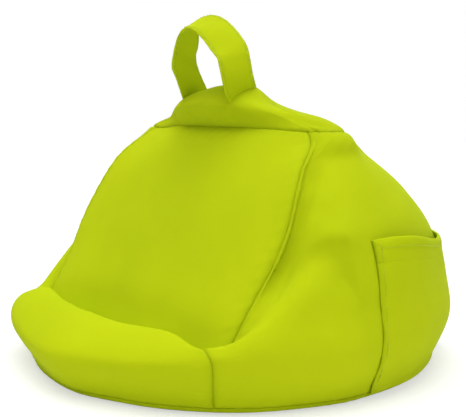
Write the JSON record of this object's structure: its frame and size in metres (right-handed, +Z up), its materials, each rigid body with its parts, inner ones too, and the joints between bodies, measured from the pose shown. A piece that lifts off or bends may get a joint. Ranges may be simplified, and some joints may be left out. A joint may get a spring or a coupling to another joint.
{
  "type": "tablet cushion stand",
  "caption": "Round bead-filled cloth cushion with a leaned rest face, a trough behind a rolled front lip, a side pocket and a carrying loop on top.",
  "frame": {"origin": "middle of the round base on the surface it stands on", "axes": "+Z up, +X to the right of someone facing the rest face, -Y towards that person; the rest face leans back towards +Y"},
  "size_m": [0.3253, 0.322, 0.2485],
  "materials": {
    "green_cotton": "matte woven cotton",
    "bead_bag_liner": "matte",
    "zip_tape": "matte",
    "zip_nylon": "satin",
    "zip_metal": "satin"
  },
  "bodies": {
    "cushion": {"back_lower_panel": "green_cotton", "back_panel": "green_cotton", "base_panel": "green_cotton", "bead_bag_body": "bead_bag_liner", "bead_bag_lip": "bead_bag_liner", "divider_panel": "green_cotton", "lip_panel": "green_cotton", "pocket_hem": "green_cotton", "pocket_panel": "green_cotton", "rest_panel": "green_cotton", "side_panel_left": "green_cotton", "side_panel_right": "green_cotton", "top_panel": "green_cotton", "zip_chain": "zip_nylon", "zip_stop_left": "zip_nylon", "zip_stop_right": "zip_nylon", "zip_tape_lower": "zip_tape", "zip_tape_upper": "zip_tape"},
    "loop": {"handle_strap": "green_cotton"},
    "slider": {"zip_slider": "zip_metal"},
    "pull": {"zip_pull": "zip_metal"}
  },
  "joints": [
    {"name": "loop_flop", "type": "hinge", "parent": "cushion", "child": "loop", "pos_m": [0, -0.021, 0.19203], "axis": [1, 0, 0], "range_deg": [-40, 40]},
    {"name": "zip_slide", "type": "hinge", "parent": "cushion", "child": "slider", "pos_m": [0, -0.00161, 0.02], "axis": [0, 0, 1], "range_deg": [0, 66]},
    {"name": "pull_swing", "type": "hinge", "parent": "slider", "child": "pull", "pos_m": [0.08699, 0.1345, 0.01814], "axis": [0.1962, 0.307, 0.9313], "range_deg": [0, 170]}
  ]
}
